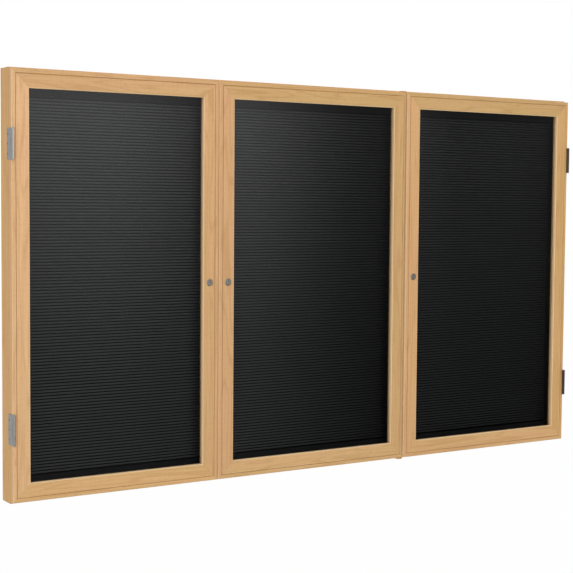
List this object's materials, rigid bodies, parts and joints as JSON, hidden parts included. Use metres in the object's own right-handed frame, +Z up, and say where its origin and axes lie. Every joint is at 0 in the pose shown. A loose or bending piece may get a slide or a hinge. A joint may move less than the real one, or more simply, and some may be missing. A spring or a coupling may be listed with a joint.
{
  "type": "lockable notice board",
  "caption": "Wall-hung oak notice board with glazed hinged doors, each with a cam lock, over grooved black felt letter panels.",
  "frame": {"origin": "centre of the rear face, on the wall plane", "axes": "+X to the viewer's right, +Y into the wall, +Z up; the doors face -Y"},
  "size_m": [1.834, 0.0785, 1.067],
  "materials": {
    "oak": "satin clear varnish on oak",
    "mullion": "flat black paint",
    "backing": "bare hardboard",
    "felt": "black felt over a grooved board",
    "trim": "matt black",
    "steel": "satin",
    "lock": "bright nickel",
    "bush": "turned",
    "pane": "clear"
  },
  "bodies": {
    "cabinet": {"cabinet_top_rail": "oak", "cabinet_bottom_rail": "oak", "cabinet_left_side": "oak", "cabinet_right_side": "oak", "left_mullion": "mullion", "right_mullion": "mullion", "back_panel": "backing", "strike_plates": "steel", "left_hinge_pins": "steel", "right_hinge_pins": "steel", "upper_pivot_bracket": "steel", "lower_pivot_bracket": "steel", "left_letter_panel": "felt", "left_panel_trim": "trim", "middle_letter_panel": "felt", "middle_panel_trim": "trim", "right_letter_panel": "felt", "right_panel_trim": "trim", "left_upper_hinge_fixed_leaf": "steel", "left_lower_hinge_fixed_leaf": "steel", "right_upper_hinge_fixed_leaf": "steel", "right_lower_hinge_fixed_leaf": "steel"},
    "left_door": {"left_door_hinge_stile": "oak", "left_door_lock_stile": "oak", "left_door_top_rail": "oak", "left_door_bottom_rail": "oak", "left_door_glazing_strips": "oak", "left_door_pane": "pane", "left_lock_barrel": "lock", "left_lock_nut": "steel", "left_upper_hinge_door_leaf": "steel", "left_lower_hinge_door_leaf": "steel"},
    "middle_door": {"middle_door_hinge_stile": "oak", "middle_door_lock_stile": "oak", "middle_door_top_rail": "oak", "middle_door_bottom_rail": "oak", "middle_door_glazing_strips": "oak", "middle_door_pane": "pane", "middle_lock_barrel": "lock", "middle_lock_nut": "steel", "middle_door_pivot_bushes": "bush"},
    "right_door": {"right_door_hinge_stile": "oak", "right_door_lock_stile": "oak", "right_door_top_rail": "oak", "right_door_bottom_rail": "oak", "right_door_glazing_strips": "oak", "right_door_pane": "pane", "right_lock_barrel": "lock", "right_lock_nut": "steel", "right_upper_hinge_door_leaf": "steel", "right_lower_hinge_door_leaf": "steel"},
    "left_lock": {"left_lock_plug": "lock", "left_lock_cam": "steel"},
    "middle_lock": {"middle_lock_plug": "lock", "middle_lock_cam": "steel"},
    "right_lock": {"right_lock_plug": "lock", "right_lock_cam": "steel"}
  },
  "joints": [
    {"name": "left_door_swing", "type": "hinge", "parent": "cabinet", "child": "left_door", "pos_m": [-0.913, -0.0745, 0], "axis": [0, 0, -1], "range_deg": [0, 170]},
    {"name": "middle_door_swing", "type": "hinge", "parent": "cabinet", "child": "middle_door", "pos_m": [0.2745, -0.062, 0], "axis": [0, 0, 1], "range_deg": [0, 95]},
    {"name": "right_door_swing", "type": "hinge", "parent": "cabinet", "child": "right_door", "pos_m": [0.913, -0.0745, 0], "axis": [0, 0, 1], "range_deg": [0, 170]},
    {"name": "left_lock_turn", "type": "hinge", "parent": "left_door", "child": "left_lock", "pos_m": [-0.3665, -0.07, -0.001], "axis": [0, -1, 0], "range_deg": [0, 90]},
    {"name": "middle_lock_turn", "type": "hinge", "parent": "middle_door", "child": "middle_lock", "pos_m": [-0.3105, -0.07, -0.001], "axis": [0, 1, 0], "range_deg": [0, 90]},
    {"name": "right_lock_turn", "type": "hinge", "parent": "right_door", "child": "right_lock", "pos_m": [0.3115, -0.07, -0.001], "axis": [0, 1, 0], "range_deg": [0, 90]}
  ]
}
